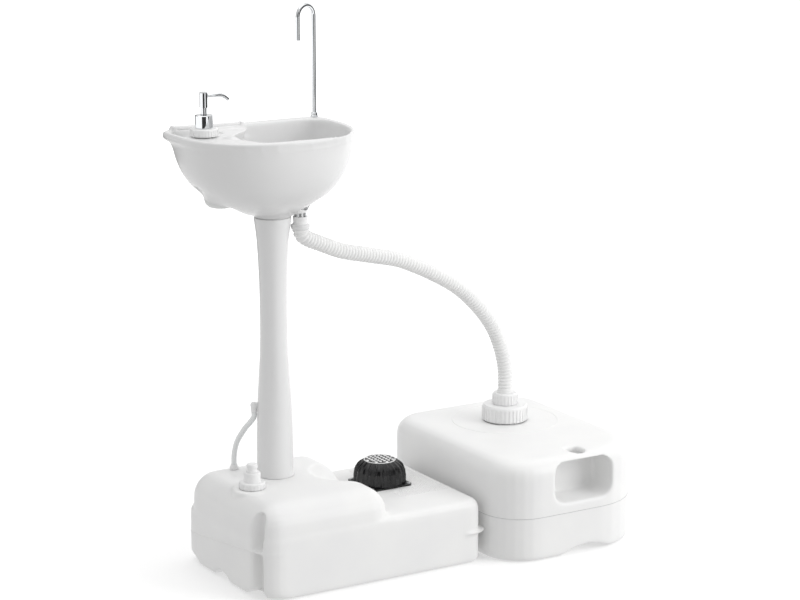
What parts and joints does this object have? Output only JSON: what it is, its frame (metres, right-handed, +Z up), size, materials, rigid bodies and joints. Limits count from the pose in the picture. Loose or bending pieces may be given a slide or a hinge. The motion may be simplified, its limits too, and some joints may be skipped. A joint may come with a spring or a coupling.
{
  "type": "portable camping wash stand",
  "caption": "Free-standing camping wash basin on a column: foot-pumped fresh water tank below, curved spout, soap dispenser, and a ribbed hose draining into a separate recovery tank.",
  "frame": {"origin": "on the floor, under the middle of the rigid parts", "axes": "+Z up the column, +Y to the back, +X to the recovery tank"},
  "size_m": [0.8628, 0.442, 1.023],
  "materials": {
    "tank_plastic": "blow-moulded white plastic, low gloss",
    "basin_plastic": "moulded white plastic, satin gloss",
    "cap_plastic": "moulded white plastic, fine matt",
    "black_plastic": "black moulded plastic",
    "bellows_rubber": "black rubber",
    "chrome": "polished chrome",
    "stainless": "stainless steel",
    "spring_steel": "drawn spring wire",
    "tubing": "soft white tubing",
    "hose_plastic": "ribbed white hose",
    "bottle_plastic": "milky plastic",
    "seal_rubber": "grey rubber",
    "valve_rubber": "orange silicone rubber",
    "pump_plastic": "grey moulded plastic"
  },
  "bodies": {
    "stand": {"base_tank": "tank_plastic", "filler_neck": "cap_plastic", "tube_gland": "cap_plastic", "column": "basin_plastic", "tube_grommet": "cap_plastic", "riser_tube": "tubing", "supply_tube": "tubing", "basin": "basin_plastic", "towel_bar": "basin_plastic", "soap_bottle": "bottle_plastic", "soap_cap": "cap_plastic", "dispenser_collar": "chrome", "dispenser_spring": "spring_steel", "dip_tube": "tubing", "spout_nut": "chrome", "spout_backnut": "stainless", "drain_tail": "stainless", "drain_nut": "cap_plastic", "hose_cuff_top": "hose_plastic", "drain_hose": "hose_plastic", "hose_cuff_bottom": "hose_plastic", "pump_flange": "black_plastic", "pump_screws": "stainless", "pump_bellows": "bellows_rubber", "pump_spring": "spring_steel", "pump_body": "pump_plastic", "outlet_valve": "valve_rubber", "outlet_tube": "tubing", "intake_strainer": "pump_plastic", "recovery_tank": "tank_plastic", "recovery_neck": "cap_plastic", "recovery_gasket": "seal_rubber", "recovery_cap": "cap_plastic", "hose_nut": "cap_plastic"},
    "tread": {"pump_tread": "black_plastic"},
    "plunger": {"dispenser_stem": "chrome"},
    "dispenser_head": {"dispenser_head": "chrome"},
    "spout": {"spout": "chrome"},
    "filler_seal": {"filler_gasket": "seal_rubber"},
    "filler_cap": {"filler_cap": "cap_plastic", "filler_nub": "cap_plastic"},
    "inlet_valve": {"inlet_valve": "valve_rubber"},
    "strainer": {"drain_strainer": "stainless"}
  },
  "joints": [
    {"name": "pump_press", "type": "slide", "parent": "stand", "child": "tread", "axis": [0, 0, -1], "range_m": [0, 0.022], "stiffness_N_per_m": 1200, "springref_m": -0.015, "deforming": ["pump_bellows", "pump_spring"]},
    {"name": "soap_press", "type": "slide", "parent": "stand", "child": "plunger", "axis": [0, 0, -1], "range_m": [0, 0.009], "stiffness_N_per_m": 350, "springref_m": -0.012, "deforming": ["dispenser_spring"]},
    {"name": "soap_turn", "type": "hinge", "parent": "plunger", "child": "dispenser_head", "pos_m": [-0.3735, 0.046, 0.859], "axis": [0, 0, 1], "continuous": true},
    {"name": "spout_turn", "type": "hinge", "parent": "stand", "child": "spout", "pos_m": [-0.1145, 0.11, 0.813], "axis": [0, 0, 1], "range_deg": [-110, 110]},
    {"name": "filler_lift", "type": "slide", "parent": "stand", "child": "filler_seal", "axis": [0, 0, 1], "range_m": [0, 0.008]},
    {"name": "filler_turn", "type": "hinge", "parent": "filler_seal", "child": "filler_cap", "pos_m": [-0.3255, -0.026, 0.18], "axis": [0, 0, 1], "range_deg": [0, 720]},
    {"name": "inlet_lift", "type": "slide", "parent": "stand", "child": "inlet_valve", "axis": [0, 0, 1], "range_m": [0, 0.003]},
    {"name": "strainer_lift", "type": "slide", "parent": "stand", "child": "strainer", "axis": [0, 0, 1], "range_m": [0, 0.03]}
  ],
  "couplings": [
    {"joint": "filler_turn", "follows": "filler_lift", "rad_per_m": 1570.8}
  ]
}
